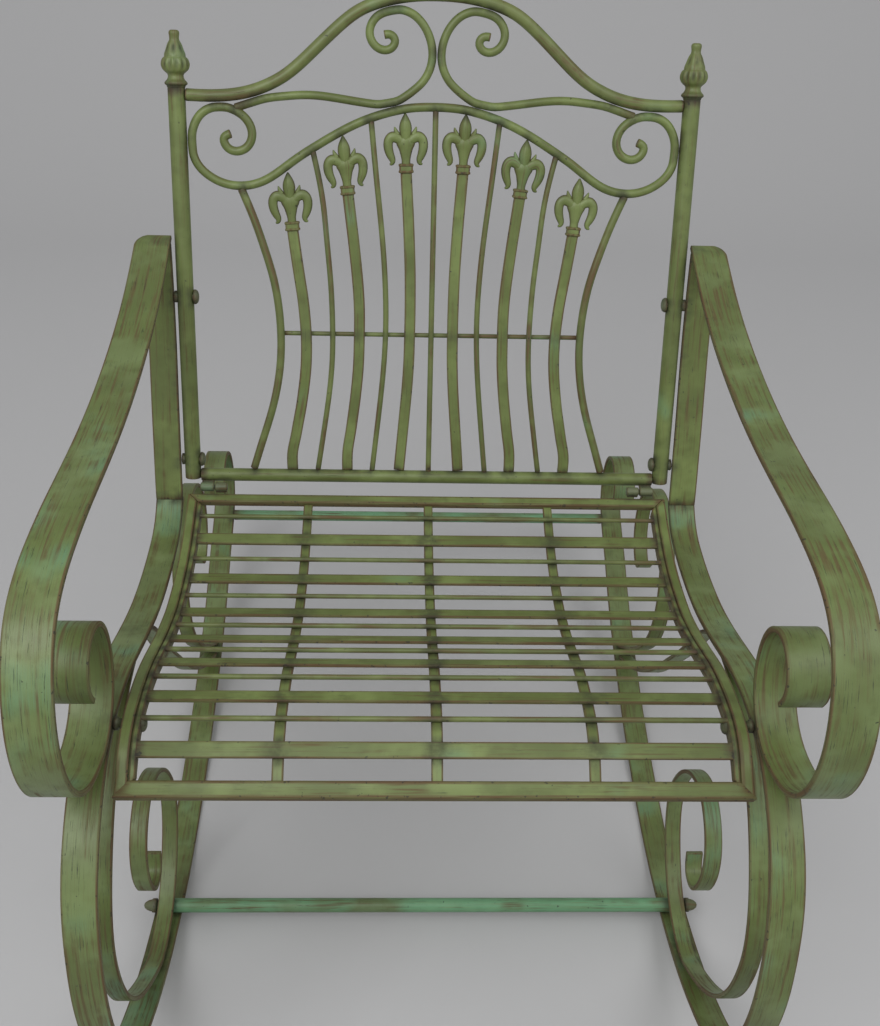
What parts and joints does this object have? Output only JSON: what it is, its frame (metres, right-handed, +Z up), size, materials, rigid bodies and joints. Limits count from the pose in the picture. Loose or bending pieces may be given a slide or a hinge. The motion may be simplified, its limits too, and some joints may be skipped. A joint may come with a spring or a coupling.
{
  "type": "garden rocking chair",
  "caption": "Metal garden rocking chair with a slatted seat, scrolled arms, a rod and fleur-de-lis back and side frames of bent bar on curved rockers.",
  "frame": {"origin": "on the floor, under the middle of the chair's bounding box", "axes": "+Z up, -Y the chair's front, +X to the right seen from the front"},
  "size_m": [0.637, 0.9472, 0.9281],
  "materials": {
    "frame_paint": "olive green paint, streaked with rust brown and worn at the edges",
    "arm_paint": "pale green paint, faded, with brown wear along the edges",
    "pale_green_paint": "satin green paint, faded and chipped",
    "worn_rod_paint": "dark worn green paint with bare brown patches",
    "fastener_steel": "painted steel, dull, rust at the joints"
  },
  "bodies": {
    "root": {"back_bottom_rail": "frame_paint", "cross_rod": "worn_rod_paint", "front_stretcher": "pale_green_paint", "left_arm": "arm_paint", "left_back_bar_1": "frame_paint", "left_back_bar_2": "frame_paint", "left_back_bar_3": "frame_paint", "left_back_post": "frame_paint", "left_finial": "frame_paint", "left_front_scroll_bar": "frame_paint", "left_hinge": "fastener_steel", "left_outer_rod": "worn_rod_paint", "left_post_bolt_1": "fastener_steel", "left_post_bolt_2": "fastener_steel", "left_rear_scroll_bar": "frame_paint", "left_rod_1": "worn_rod_paint", "left_rod_2": "worn_rod_paint", "left_seat_bolt": "fastener_steel", "left_side_bar": "frame_paint", "left_top_scroll": "frame_paint", "left_upright": "frame_paint", "lower_arch": "frame_paint", "middle_rod": "worn_rod_paint", "rear_stretcher": "frame_paint", "right_arm": "arm_paint", "right_back_bar_1": "frame_paint", "right_back_bar_2": "frame_paint", "right_back_bar_3": "frame_paint", "right_back_post": "frame_paint", "right_finial": "frame_paint", "right_front_scroll_bar": "frame_paint", "right_hinge": "fastener_steel", "right_outer_rod": "worn_rod_paint", "right_post_bolt_1": "fastener_steel", "right_post_bolt_2": "fastener_steel", "right_rear_scroll_bar": "frame_paint", "right_rod_1": "worn_rod_paint", "right_rod_2": "worn_rod_paint", "right_seat_bolt": "fastener_steel", "right_side_bar": "frame_paint", "right_top_scroll": "frame_paint", "right_upright": "frame_paint", "seat_frame": "frame_paint", "seat_rod_1": "worn_rod_paint", "seat_rod_2": "worn_rod_paint", "seat_rod_3": "worn_rod_paint", "seat_rod_4": "worn_rod_paint", "seat_rod_5": "worn_rod_paint", "seat_rod_6": "worn_rod_paint", "seat_rod_7": "worn_rod_paint", "seat_slat_1": "frame_paint", "seat_slat_2": "frame_paint", "seat_slat_3": "frame_paint", "seat_slat_4": "frame_paint", "seat_slat_5": "frame_paint", "seat_slat_6": "frame_paint", "seat_slat_7": "frame_paint", "top_arch_rail": "pale_green_paint"}
  },
  "joints": []
}
